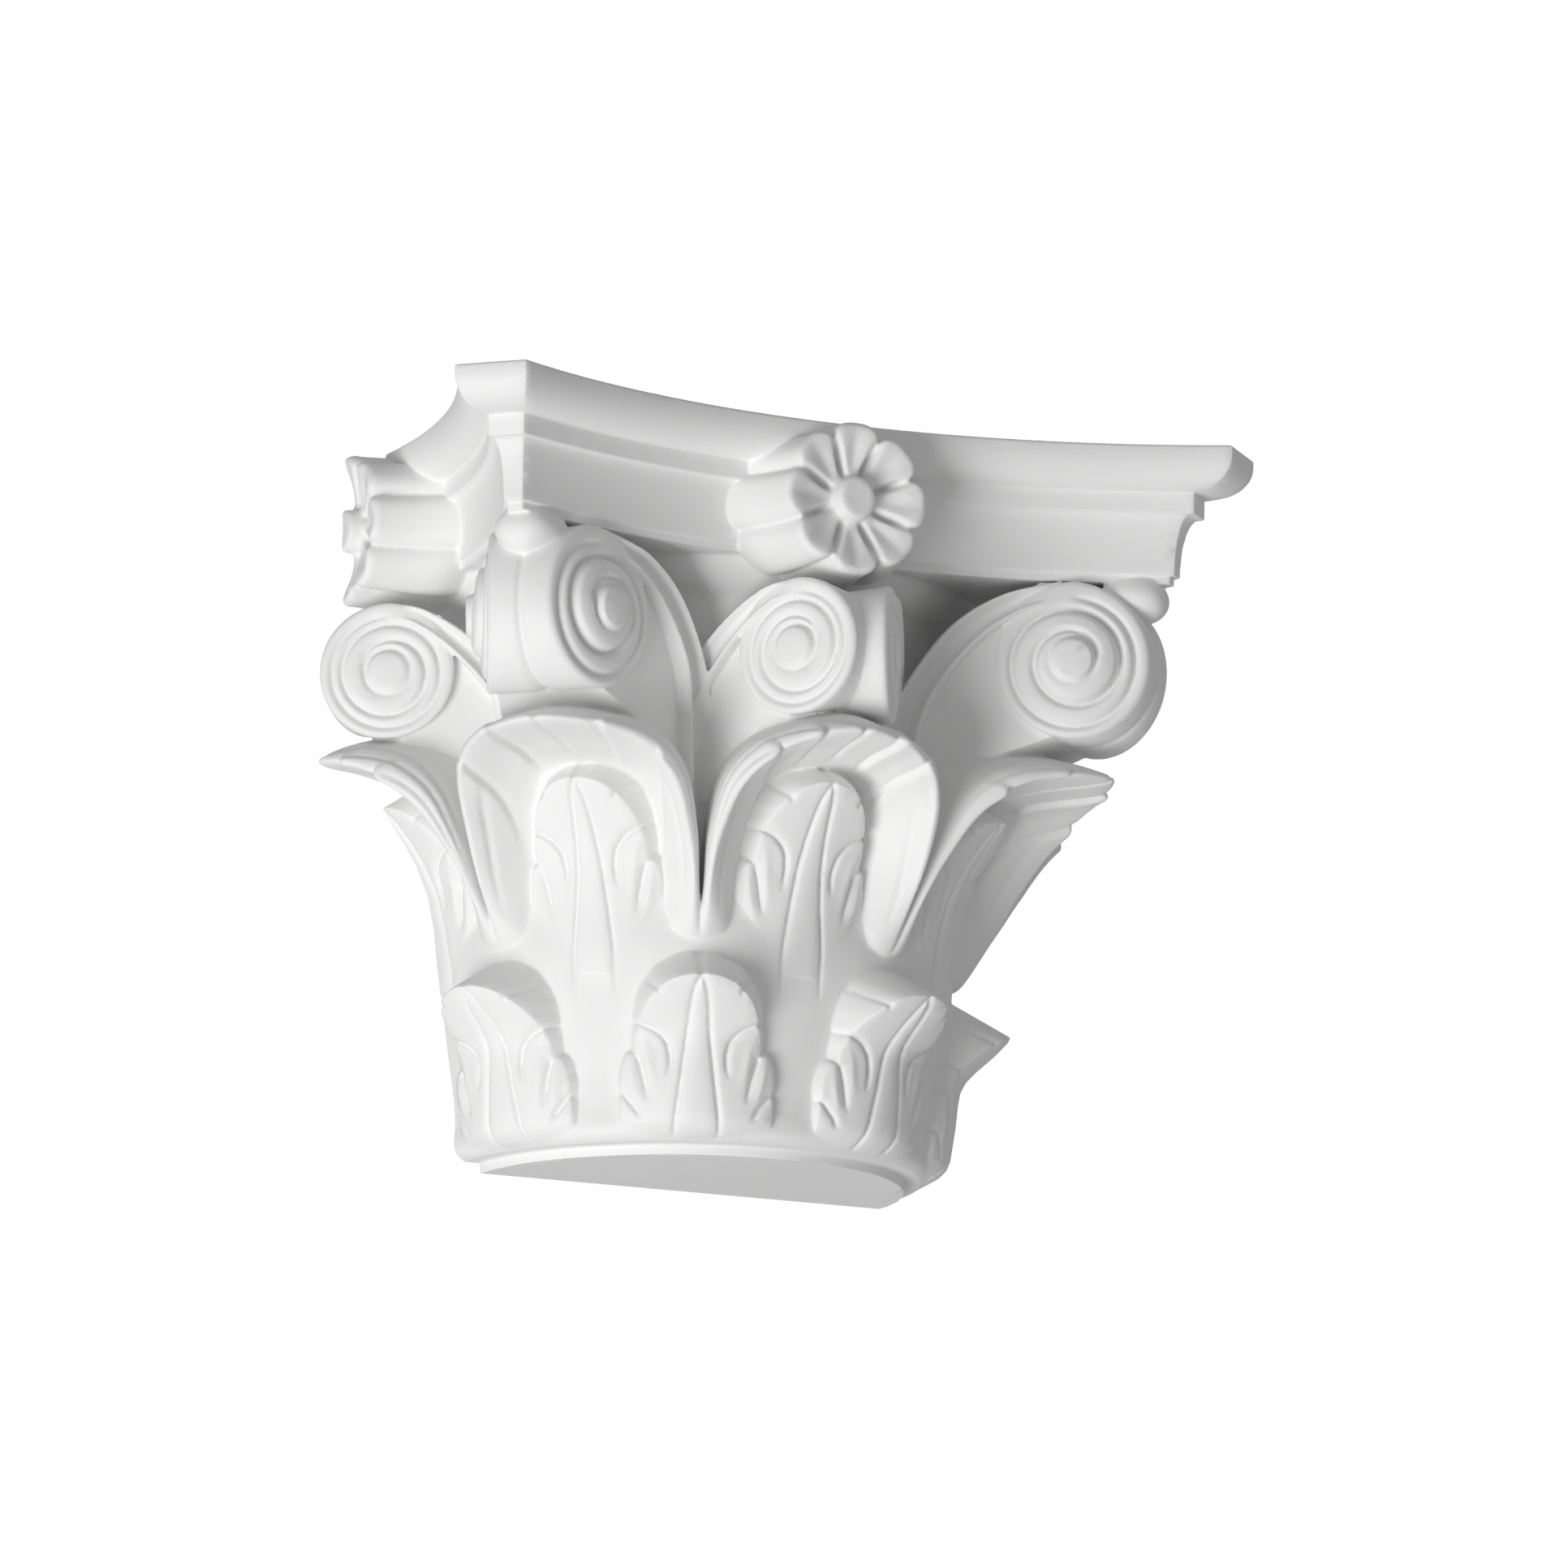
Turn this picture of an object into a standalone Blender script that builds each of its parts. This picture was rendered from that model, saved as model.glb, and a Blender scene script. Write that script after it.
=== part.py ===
"""A half-round corinthian capital, moulded in one piece, with a flat back that stands against a wall.

The column's axis is vertical and lies in the plane of the flat back. Two tiers of acanthus leaves
stand on the bell, volutes curl out under the corners of the abacus, smaller helices meet under the
flower at the middle of each side, and a plug below seats in the top of a half column.
"""

import math

import bmesh
import bpy
import numpy as np

HEIGHT = 0.270
CORNER_REACH = 0.1648
CORNER_CUT = 0.0196
SIDE_HOLLOW = 0.0383
PLUG_RADIUS = 0.0834
PLUG_HEIGHT = 0.0038
RING_LEDGE = 0.0118
TURNED_STEPS = 36

# The carving is drawn in parts, 270 to the height. UPPER_SHARE is an upper leaf's width as a share
# of a lower one's, and ROOT_RADIUS is where the carving is rooted inside the bell.
PART = HEIGHT / 270
QUARTER = math.pi / 2
LOWER_LEAVES = (-67.5, -22.5, 22.5, 67.5)
UPPER_LEAVES = (-90.0, -45.0, 0.0, 45.0, 90.0)
SIDES = (-90.0, 0.0, 90.0)
CORNERS = (-45.0, 45.0)
LEAF_ARC = 104.0
ABACUS_FOOT = 224.0
ROOT_RADIUS = 86.0
UPPER_SHARE = 0.88

BELL = [(110.0, 228.0), (109.8, 222.0), (108.0, 216.5), (104.5, 211.5), (99.0, 205.0), (96.5, 190.0),
        (97.0, 165.0), (99.5, 105.0), (101.0, 77.0), (97.5, 45.0), (95.0, 30.0),
        (93.5, 21.0)]


def clear_scene():
    """Takes every object out of the scene."""
    for obj in list(bpy.data.objects):
        bpy.data.objects.remove(obj, do_unlink=True)


def new_collection(name):
    """Adds an empty collection to the scene."""
    made = bpy.data.collections.new(name)
    bpy.context.scene.collection.children.link(made)
    return made


def object_from(points, faces, name, collection):
    """Makes a mesh object from points in parts, with doubles merged and faces turned outward."""
    mesh = bpy.data.meshes.new(name)
    flat = np.asarray(points, float).reshape(-1, 3) * PART
    mesh.from_pydata(flat.tolist(), [], faces)
    work = bmesh.new()
    work.from_mesh(mesh)
    bmesh.ops.remove_doubles(work, verts=work.verts, dist=0.01 * PART)
    bmesh.ops.dissolve_degenerate(work, edges=work.edges, dist=0.005 * PART)
    bmesh.ops.recalc_face_normals(work, faces=work.faces)
    work.to_mesh(mesh)
    work.free()
    obj = bpy.data.objects.new(name, mesh)
    collection.objects.link(obj)
    return obj


def strip_faces(rows, columns, closed, first=0, flip=False):
    """Quads of a grid of rows by columns, whose columns join round when it is closed."""
    faces = []
    for row in range(rows - 1):
        for column in range(columns if closed else columns - 1):
            beside = (column + 1) % columns
            quad = [row * columns + column, row * columns + beside,
                    (row + 1) * columns + beside, (row + 1) * columns + column]
            faces.append([first + corner for corner in (quad[::-1] if flip else quad)])
    return faces


def loft(sections, name, collection):
    """Joins closed sections of equal length, one after another, and caps the two ends."""
    grid = np.asarray(sections, float)
    rows, columns = grid.shape[:2]
    faces = strip_faces(rows, columns, closed=True)
    faces.append(list(range(columns))[::-1])
    faces.append([(rows - 1) * columns + column for column in range(columns)])
    return object_from(grid, faces, name, collection)


def mirrored_loft(sections, name, collection, closed):
    """Joins half sections from a leaf's root to its tip and mirrors them at the leaf's middle."""
    grid = np.asarray(sections, float)
    rows, columns = grid.shape[:2]
    points = grid.reshape(-1, 3)
    other = points * (-1, 1, 1)
    count = len(points)
    root = list(range(columns))
    faces = strip_faces(rows, columns, closed) + [root[::-1]]
    faces += strip_faces(rows, columns, closed, first=count, flip=True)
    faces.append([count + corner for corner in root])
    return object_from(np.concatenate([points, other]), faces, name, collection)


def turned_to(obj, azimuth):
    """Turns a body made for the front about the column's axis, by an angle in degrees."""
    obj.rotation_euler.z = math.radians(azimuth)


def copies(made, azimuths, collection):
    """Sets a body at the first angle and a copy of it at each other angle."""
    turned_to(made, azimuths[0])
    for azimuth in azimuths[1:]:
        twin = bpy.data.objects.new(made.name + "_copy", made.data)
        collection.objects.link(twin)
        turned_to(twin, azimuth)


def polar(degrees_off, height, radius):
    """A point in parts from its angle off the front, its height and its distance from the axis."""
    angle = np.radians(degrees_off)
    return np.stack([radius * np.sin(angle), -radius * np.cos(angle), height + 0 * angle], -1)


def smooth_rows(controls, rows):
    """Carries each column of control numbers along a smooth curve, at so many even steps."""
    controls = np.asarray(controls, float)
    padded = np.concatenate([2 * controls[:1] - controls[1:2], controls,
                             2 * controls[-1:] - controls[-2:-1]])
    place = np.linspace(0, len(controls) - 1, rows)
    before = np.minimum(place.astype(int), len(controls) - 2)
    t = (place - before).reshape((-1,) + (1,) * (controls.ndim - 1))
    a, b, c, d = (padded[before + step] for step in range(4))
    return 0.5 * (2 * b + (c - a) * t + (2 * a - 5 * b + 4 * c - d) * t**2
                  + (3 * b - a - 3 * c + d) * t**3)


def bell_radius(height):
    """The bell's radius at a height, both in parts."""
    table = np.array(BELL[::-1])
    return np.interp(height, table[:, 1], table[:, 0])


def make_core(collection):
    """The bell with its lip above, and below it the ring and the plug, turned in one profile."""
    plug = PLUG_RADIUS / PART
    plug_top = PLUG_HEIGHT / PART
    ring = plug + RING_LEDGE / PART
    profile = [(0.0, ABACUS_FOOT + 6)] + [(BELL[0][0], ABACUS_FOOT + 6)] + BELL
    profile += [(ring - 1.4, 20.0), (ring, 16.0), (ring + 0.6, 12.5), (ring - 0.3, 8.7),
                (ring - 2.2, 6.0), (ring - 5.5, plug_top), (plug, plug_top), (plug, 0.0), (0.0, 0.0)]
    mesh = bpy.data.meshes.new("core")
    mesh.from_pydata([(r * PART, 0.0, z * PART) for r, z in profile],
                     [(i, i + 1) for i in range(len(profile) - 1)], [])
    core = bpy.data.objects.new("core", mesh)
    collection.objects.link(core)
    screw = core.modifiers.new("turned", "SCREW")
    screw.angle = 2 * math.pi
    screw.steps = TURNED_STEPS
    screw.render_steps = TURNED_STEPS
    screw.use_merge_vertices = True
    screw.merge_threshold = 0.00001
    return core


def abacus_outline(offset, taper=1.47, steps=7):
    """The abacus seen from above, drawn in by an offset: four hollow sides and four cut corners."""
    corner = CORNER_REACH / PART
    chord = corner - CORNER_CUT / PART
    hollow = SIDE_HOLLOW / PART
    radius = (chord**2 + hollow**2) / (2 * hollow)
    centre = corner - hollow + radius
    cut = corner + chord - math.sqrt(2) * offset * taper
    far = radius + offset
    # The end of the side is where its arc crosses the line of the cut corner.
    shift = cut - centre
    half = math.sqrt(max(2 * far**2 - shift**2, 0.0))
    x_end = (shift + half) / 2
    half_angle = math.asin(x_end / far)
    angles = np.linspace(-half_angle, half_angle, steps)
    front = np.stack([far * np.sin(angles), -centre + far * np.cos(angles)], -1)
    sides = []
    for turn in range(4):
        c, s = math.cos(turn * QUARTER), math.sin(turn * QUARTER)
        sides.append(front @ np.array([[c, s], [-s, c]]))
    return np.concatenate(sides)


def make_abacus(collection):
    """The top slab: a quarter round over a flat band over a hollow, carried round the outline."""
    top = HEIGHT / PART
    levels = [(0.0, 0.0), (3.0, 0.0)]
    for angle in np.linspace(0, QUARTER, 4)[1:]:
        levels.append((3.0 + 12.6 * math.sin(angle), 10.4 * (1 - math.cos(angle))))
    levels += [(15.6, 11.6), (23.5, 11.6), (23.5, 12.8)]
    for angle in np.linspace(0, QUARTER, 4)[1:]:
        levels.append((23.5 + 22.5 * (1 - math.cos(angle)), 12.8 + 4.6 * math.sin(angle)))
    levels += [(46.0, 18.8), (49.0, 18.8)]
    sections = []
    for drop, offset in levels:
        outline = abacus_outline(offset)
        sections.append(np.column_stack([outline, np.full(len(outline), top - drop)]))
    return loft(sections, "abacus", collection)


LEAF_EDGE = [(31.0, 0.0), (29.4, 15.5), (30.0, 22.0), (26.8, 30.0), (23.2, 28.5), (23.8, 33.5),
             (21.4, 40.0), (18.4, 46.5), (13.6, 51.3), (6.8, 54.6), (0.0, 55.6)]
LEAF_NOTCHES = (1, 4, 6, 8)


def make_leaf(name, collection, base, tip, width, front, foot, crown):
    """An acanthus leaf in relief: a spine between two grooves, and lobes out to a notched edge.

    Each row runs from the spine to a point of the edge, on over the side wall to the foot on the
    surface behind, and back under it to the middle. front and foot give the radius at a height, of
    the leaf's middle and of the surface behind it. crown is the height where the leaf's top ends.
    """
    rows = []
    reach = tip - base
    edge_top = LEAF_EDGE[-1][1]
    shoulder = base + 0.5 * reach
    for number, (across, up) in enumerate(LEAF_EDGE):
        x = across * width
        z = base + up * reach / edge_top
        start = base + reach * (up / edge_top) ** 1.3
        line = {}
        for share in (0.0, 0.55, 0.8, 1.0):
            line[share] = (x * share, start + share * (z - start))
        spine_share = 0.0
        for _ in range(6):
            level = start + spine_share * (z - start)
            spine = 9.2 * (1 - (level - base) / reach)
            spine_share = min(spine / x, 0.4) if x > 0 else 0.0
        groove = (x * spine_share, start + spine_share * (z - start))
        notch = 1.6 if number in LEAF_NOTCHES else 0.0
        lean = 0.0042
        outline = []
        for (px, pz), sunk in ((line[0.0], -0.4), (groove, 1.8), (line[0.55], 0.0),
                               (line[0.8], 1.3), (line[1.0], notch)):
            if x == 0:
                sunk = 0.0
            outline.append((px, pz, front(pz) - lean * px**2 - sunk))
        slant = math.atan2(max(z - shoulder, 0.0), x) if x > 0 else QUARTER
        wall = 3.6 * width
        arch_x = (31.0 * width + wall) * math.cos(slant)
        arch_z = shoulder + (crown - shoulder) * math.sin(slant) if slant > 0 else z
        outline.append((arch_x, arch_z, foot(arch_z)))
        outline.append((arch_x, arch_z, ROOT_RADIUS))
        outline.append((0.0, start, ROOT_RADIUS))
        rows.append([polar(math.degrees(px / LEAF_ARC), pz, radius) for px, pz, radius in outline])
    return mirrored_loft(rows, name, collection, closed=False)


def lower_front(height):
    """The lower leaf's middle seen from the side, up to its tip."""
    return np.interp(height, (5, 17, 26, 34, 39.5, 43.4, 48, 55.3, 60.5),
                     (98, 100, 102, 103, 104.2, 106.3, 110.7, 118.8, 123.6))


def upper_front(height):
    """The upper leaf's middle seen from the side, up to its tip."""
    return np.interp(height, (60, 77, 90, 103, 114, 122, 128, 134.5),
                     (100, 101.7, 103.2, 106, 111, 116.3, 121, 126.8))


def upper_foot(height):
    """The surface behind the upper leaf: the bell, then the underside of the hood."""
    return np.interp(height, (60, 100, 120, 143), (93, 94, 97, 106))


# Hood rows: angle, height and radius of the inner edge, the hollow, the rim, the outer slope
# and the outer foot, from a leg's end up to the middle of the hood.
HOOD = [
    [(15.0, 86, 96), (18.0, 82, 103), (20.3, 80, 104), (22.0, 79, 103), (22.6, 78, 98)],
    [(13.6, 98, 96), (17.4, 97, 107), (20.6, 97, 115), (21.9, 97, 113), (22.2, 97, 100)],
    [(13.0, 112, 98), (16.9, 113, 112), (19.4, 114, 125), (21.2, 116, 122), (21.8, 118, 100)],
    [(11.8, 126, 103), (14.6, 129, 120), (16.4, 131, 136), (18.4, 136, 129), (19.4, 140, 100)],
    [(8.6, 138, 113), (9.4, 141, 128), (9.9, 143.5, 146), (11.6, 150, 134), (12.4, 157, 98)],
    [(0.0, 142, 117), (0.0, 146, 134), (0.0, 150, 154), (0.0, 158, 136), (0.0, 167, 97)],
]
HOOD_ROWS = 12
HOOD_LOBES = 5.0


def make_hood(name, collection, reach):
    """The outer upper leaf: a cowl bent over the inner one, hollow in front, its rim in lobes."""
    rows = []
    for place, controls in zip(np.linspace(0, 1, HOOD_ROWS), smooth_rows(HOOD, HOOD_ROWS)):
        rise = max((place - 0.35) / 0.65, 0.0)
        lobe = abs(math.cos(HOOD_LOBES * QUARTER * (1 - place)))
        spread = rise * (4.2 * lobe - 2.4) if place < 1 else 2.4
        shares = (0.0, 0.45, 1.0, 0.4, 0.0)
        line = []
        for (angle, height, radius), share in zip(controls, shares):
            stretched = radius + share * (reach * rise**1.5 + spread)
            line.append((angle, height + 0.25 * share * spread, stretched))
        line.append((line[-1][0], line[-1][1], ROOT_RADIUS))
        line.append((0.6 * line[0][0], line[0][1] - 6.0, ROOT_RADIUS))
        rows.append([polar(angle, height, radius) for angle, height, radius in line])
    return mirrored_loft(rows, name, collection, closed=True)


def face_frame(eye, normal_degrees, outward):
    """The directions of a scroll's face: outward along it, up, and out of it."""
    angle = math.radians(normal_degrees)
    normal = np.array([math.sin(angle), -math.cos(angle), 0.0])
    along = np.array([math.cos(angle), math.sin(angle), 0.0]) * outward
    return np.array(eye, float), along, normal


def on_face(frame, along, up, out):
    """Points at these distances along, up and out of a scroll's face."""
    eye, direction, normal = frame
    along, up, out = np.broadcast_arrays(np.asarray(along, float), up, out)
    lifted = eye + along[..., None] * direction + out[..., None] * normal
    lifted[..., 2] += up
    return lifted


def across_plane(points, plane_degrees):
    """Mirrors points at the upright plane through the axis at this angle off the front."""
    angle = math.radians(plane_degrees)
    side = np.array([math.cos(angle), math.sin(angle), 0.0])
    return points - 2 * (points @ side)[..., None] * side


def spiral_radius(turns, outer, pitch):
    """The radius of a scroll's bead after so many turns inward."""
    return outer - pitch * turns


def onto_plane(points, normal, plane_degrees):
    """Carries points along a scroll's normal to the upright plane at this angle off the front."""
    angle = math.radians(plane_degrees)
    side = np.array([math.cos(angle), math.sin(angle), 0.0])
    return points - (points @ side / (normal @ side))[..., None] * normal


def make_scroll(name, collection, frame, plane, outer, pitch, turns, rim_out, eye_out):
    """A scroll between two like faces: a spiral bead on each face round a raised eye, and a rim
    square to the face, which meets its twin's rim in a valley."""
    count = 16
    angles = np.arange(count) * 2 * math.pi / count
    rings = [(0.2, eye_out), (0.3, eye_out - 0.5), (0.33, eye_out - 3.0), (1.0, rim_out - 0.8)]
    sections = []
    for share, out in rings:
        radius = outer * share
        sections.append(on_face(frame, radius * np.sin(angles), radius * np.cos(angles), out))
    valley = onto_plane(sections[-1], frame[2], plane)
    sections = sections + [valley] + [across_plane(ring, plane) for ring in sections[::-1]]
    loft(sections, name, collection)
    steps = int(turns * 10) + 1
    half = 2.0
    for far_side in (False, True):
        bead = []
        for turn in np.linspace(0, turns, steps):
            radius = spiral_radius(turn, outer - half, pitch)
            angle = 2 * math.pi * turn
            base = rim_out - 3.0 + (eye_out - rim_out - 1.0) * turn / turns
            spots = ((radius + half, base), (radius + 0.4 * half, base + 4.0), (radius - half, base))
            bead.append([on_face(frame, r * math.sin(angle), r * math.cos(angle), out)
                         for r, out in spots])
        bead = np.asarray(bead)
        loft(across_plane(bead, plane) if far_side else bead, name + "_bead", collection)


def make_stalk(name, collection, frame, plane, outer_edge, inner_edge, depth):
    """The ribbon that rises from between the leaves into a scroll: a channel between two beads."""
    both = smooth_rows(np.concatenate([outer_edge, inner_edge], axis=1), 9)
    sections = []
    for row in both:
        outside, inside = row[:3], row[3:]
        gap = inside - outside
        section = []
        for share, out in ((0.0, -depth), (0.0, 1.2), (0.24, -1.4), (0.76, -1.4), (1.0, 1.2),
                           (1.0, -depth)):
            point = outside + share * gap
            section.append(on_face(frame, point[0], point[1], point[2] + out))
        sections.append(section)
    sections = np.asarray(sections)
    for side in (0, 1):
        loft(across_plane(sections, plane) if side else sections, name, collection)


def make_web(name, collection, frame, plane, outline, out):
    """The plain wedge behind a scroll and its stalk, which carries them off the bell."""
    outline = np.asarray(outline, float)
    near = on_face(frame, outline[:, 0], outline[:, 1], outline[:, 2] + out)
    return loft([near, across_plane(near, plane)], name, collection)


def make_volutes(collection):
    """The scrolls under the corners of the abacus, each a wedge on the corner's diagonal."""
    for sign in (-1, 1):
        plane = 45.0 * sign
        frame = face_frame((95.1 * sign, -132.2, 189.0), -25.0 * sign, sign)
        make_scroll("volute", collection, frame, plane, 29.6, 9.5, 2.05, -4.0, 1.5)
        outer_edge = [(-69, -100, -15), (-72, -60, -13), (-70.5, -28, -11), (-62, -9, -7),
                      (-46, 12.5, -5), (-27, 25.0, -4.4), (-4, 31.6, -4)]
        inner_edge = [(-60, -100, -13), (-60, -60, -12), (-56.5, -31, -10.5), (-49.5, -11, -6.6),
                      (-34, 7.6, -4.8), (-18, 18.5, -4), (-3, 23.5, -4)]
        make_stalk("volute_stalk", collection, frame, plane, outer_edge, inner_edge, 9.0)
        outline = [(-4, 28, 0), (-27, 21, 0), (-46, 8, 0), (-62, -12, -4), (-70, -45, -9),
                   (-60, -60, -9), (-30, -48, -3), (-2, -26, 0), (16, 0, 0), (10, 20, 0)]
        make_web("volute_web", collection, frame, plane, outline, -8.0)
        make_bud("bud", collection, plane)


BUD_LEVELS = [(227.0, 6.4, 178.0), (224.0, 7.4, 184.5), (220.5, 10.8, 187.5), (216.5, 12.6, 189.0),
              (211.5, 9.8, 188.0), (208.0, 5.2, 184.5), (206.4, 2.0, 178.0)]


def make_bud(name, collection, azimuth):
    """The bud between the abacus's corner and the rim of the volutes: rounded in front, narrow at
    the top under the corner, widest in its middle and drawn in again below."""
    sections = []
    for height, half_width, reach in BUD_LEVELS:
        arc = np.linspace(-QUARTER, QUARTER, 7)
        across = half_width * np.sin(arc)
        out = 170.0 + (reach - 170.0) * np.cos(arc) ** 0.7
        sections.append(np.stack([across, -out, np.full(7, height)], -1))
    turned_to(loft(sections, name, collection), azimuth)


def make_helices(collection):
    """The two smaller scrolls of each side, which meet in a wedge under the flower."""
    kept = new_collection("one_side")
    frame = face_frame((-20.5, -133.5, 181.8), -58.0, 1)
    make_scroll("helix", kept, frame, 0.0, 25.2, 8.6, 1.9, -1.0, 2.0)
    outer_edge = [(-78, -95, -8), (-72, -55, -6), (-62, -25, -4), (-47, -2, -2), (-30, 14, -0.5),
                  (-14, 23.5, 0), (-1, 26.6, 0)]
    inner_edge = [(-68, -95, -8), (-61, -57, -6), (-50, -28, -4), (-36, -6, -2), (-22, 9, -0.5),
                  (-10, 17.5, 0), (0, 20.5, 0)]
    make_stalk("helix_stalk", kept, frame, 0.0, outer_edge, inner_edge, 9.0)
    outline = [(-4, 24, 0), (-24, 14, 0), (-42, -2, -1), (-60, -28, -3), (-66, -50, -4),
               (-40, -54, -3), (-20, -40, -1), (-2, -22, 0), (12, 0, 0), (8, 16, 0)]
    make_web("helix_web", kept, frame, 0.0, outline, -4.0)
    for body in list(kept.objects):
        kept.objects.unlink(body)
        collection.objects.link(body)
        copies(body, SIDES, collection)
    bpy.data.collections.remove(kept)


# Flower rings: distance from the column's axis, half width, half height and swell of the petals.
FLOWER = [(98.0, 36.0, 24.0, 1.0), (112.0, 38.0, 26.5, 1.4), (119.0, 35.0, 26.8, 1.6),
          (128.0, 30.5, 26.2, 1.6), (136.0, 26.6, 25.4, 1.8), (143.5, 24.6, 24.6, 2.6),
          (139.0, 16.5, 16.5, 0.5), (137.0, 8.4, 8.4, 0.0), (142.5, 7.4, 7.4, 0.0),
          (144.6, 3.0, 3.0, 0.0)]
PETALS = 8
FLOWER_HEIGHT = 238.4


def make_flower(collection):
    """The flower on the middle of each side of the abacus: petals spread back over the slab from
    a dished front with a round heart."""
    points = PETALS * 3
    angles = np.arange(points) * 2 * math.pi / points
    petal = np.tile([1.0, 0.2, 0.2], PETALS)
    gap = np.tile([0.0, 1.0, 1.0], PETALS)
    sections = []
    for reach, half_width, half_height, swell in FLOWER:
        stretch = swell * (2 * petal - 1)
        back = np.minimum(swell, 1.2) * gap
        sections.append(np.stack([(half_width + stretch) * np.sin(angles), -(reach - back),
                                  FLOWER_HEIGHT + (half_height + stretch) * np.cos(angles)], -1))
    copies(loft(sections, "flower", collection), SIDES, collection)


def make_leaves(collection):
    """The lower tier of leaves, and the upper tier of inner leaves and the hoods over them."""
    lower = make_leaf("lower_leaf", collection, 7.0, 60.5, 1.0, lower_front, bell_radius, 75.0)
    copies(lower, LOWER_LEAVES, collection)
    upper = make_leaf("upper_leaf", collection, 74.0, 134.0, UPPER_SHARE, upper_front, upper_foot, 143.0)
    copies(upper, UPPER_LEAVES, collection)
    copies(make_hood("side_hood", collection, 0.0), SIDES, collection)
    copies(make_hood("corner_hood", collection, 14.0), CORNERS, collection)


def make_wall_cutter(collection):
    """The space behind the wall plane, which the capital is cut off against."""
    work = bmesh.new()
    bmesh.ops.create_cube(work, size=1.0)
    size = 3 * CORNER_REACH
    bmesh.ops.scale(work, vec=(size, size, 2 * HEIGHT), verts=work.verts)
    bmesh.ops.translate(work, vec=(0.0, size / 2, HEIGHT / 2), verts=work.verts)
    mesh = bpy.data.meshes.new("wall_cutter")
    work.to_mesh(mesh)
    work.free()
    cutter = bpy.data.objects.new("wall_cutter", mesh)
    collection.objects.link(cutter)
    return cutter


def primed_white():
    """White factory primer on moulded foam: matt, a little warm."""
    made = bpy.data.materials.new("primed_white")
    made.use_nodes = True
    shader = made.node_tree.nodes["Principled BSDF"]
    shader.inputs["Base Color"].default_value = (0.86, 0.86, 0.85, 1.0)
    shader.inputs["Roughness"].default_value = 0.6
    shader.inputs["Metallic"].default_value = 0.0
    return made


def make_capital():
    """Joins the bell, the abacus and all the carving in one body and cuts it at the wall."""
    part = new_collection("corinthian_capital")
    shapes = new_collection("joined_shapes")
    cutters = new_collection("cutters")
    core = make_core(part)
    core.name = "capital"
    make_abacus(shapes)
    make_leaves(shapes)
    make_volutes(shapes)
    make_helices(shapes)
    make_flower(shapes)
    cutter = make_wall_cutter(cutters)
    joined = core.modifiers.new("joined_carving", "BOOLEAN")
    joined.operation = "UNION"
    joined.operand_type = "COLLECTION"
    joined.collection = shapes
    joined.solver = "MANIFOLD"
    back = core.modifiers.new("flat_back", "BOOLEAN")
    back.operation = "DIFFERENCE"
    back.object = cutter
    back.solver = "MANIFOLD"
    merged = core.modifiers.new("fewer_triangles", "DECIMATE")
    merged.decimate_type = "DISSOLVE"
    merged.angle_limit = math.radians(3.0)
    for helper in list(shapes.objects) + [cutter]:
        helper.hide_render = True
        helper.display_type = "WIRE"
    shapes.hide_render = True
    cutters.hide_render = True
    core.data.materials.append(primed_white())
    core.data.shade_smooth()
    core.data.set_sharp_from_angle(angle=math.radians(35))
    # The origin stands midway between the wall plane and the front corners of the abacus.
    bpy.context.view_layer.update()
    for shape in list(part.objects) + list(shapes.objects) + [cutter]:
        shape.location.y += CORNER_REACH / 2


clear_scene()
make_capital()
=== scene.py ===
"""The looks of a half-round corinthian capital, a white primed moulding that stands against a wall."""

import math

import bmesh
import bpy
import numpy as np
from mathutils import Matrix, Vector


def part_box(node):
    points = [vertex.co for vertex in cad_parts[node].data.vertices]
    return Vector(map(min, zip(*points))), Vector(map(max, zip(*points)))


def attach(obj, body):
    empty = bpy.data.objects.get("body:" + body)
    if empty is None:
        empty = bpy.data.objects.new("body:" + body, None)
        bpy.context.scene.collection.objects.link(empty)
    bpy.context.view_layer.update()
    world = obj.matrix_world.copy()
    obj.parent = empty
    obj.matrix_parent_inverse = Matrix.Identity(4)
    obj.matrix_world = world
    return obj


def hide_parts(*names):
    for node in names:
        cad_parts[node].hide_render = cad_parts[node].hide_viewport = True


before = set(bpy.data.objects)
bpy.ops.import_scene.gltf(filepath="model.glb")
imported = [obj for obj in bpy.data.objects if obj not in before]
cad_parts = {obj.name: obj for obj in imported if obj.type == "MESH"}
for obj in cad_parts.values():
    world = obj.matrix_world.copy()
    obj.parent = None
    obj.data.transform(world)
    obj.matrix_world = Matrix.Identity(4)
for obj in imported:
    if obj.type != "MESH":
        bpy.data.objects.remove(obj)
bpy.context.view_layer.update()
low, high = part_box("capital")

# The bell, its foot and the plug.
# One turned form of moulded foam: a lip under the abacus, a slack waist, a rounded foot and a plug
# that seats in the half column. All sizes are in parts, 270 to the capital's height.
TOP = 270.0
PART = (high.z - low.z) / TOP
EIGHTH = 45.0
PLUG_RADIUS = 83.4
PLUG_TOP = 3.8
BELL_TOP = 232.0
BEHIND = (-11.5, 27.7)
BELL = [(110.0, BELL_TOP), (110.0, 227.0), (109.8, 222.0), (108.0, 216.5), (104.5, 211.5),
        (99.0, 205.0), (96.5, 190.0), (97.0, 165.0), (99.5, 105.0), (100.2, 88.0), (100.9, 76.0),
        (99.4, 60.0), (97.4, 45.0), (94.9, 30.0), (93.9, 20.5)]
FOOT = [(93.9, 20.0), (93.8, 16.0), (94.1, 12.5), (94.0, 8.7), (92.8, 6.0), (89.7, PLUG_TOP)]
LEAF_ARC = 104.0
SPINE_GROOVE_DEPTH = 1.7
SPINE_GROOVE_HALF_WIDTH = 1.2
POINTS = []
FACES = []


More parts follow.
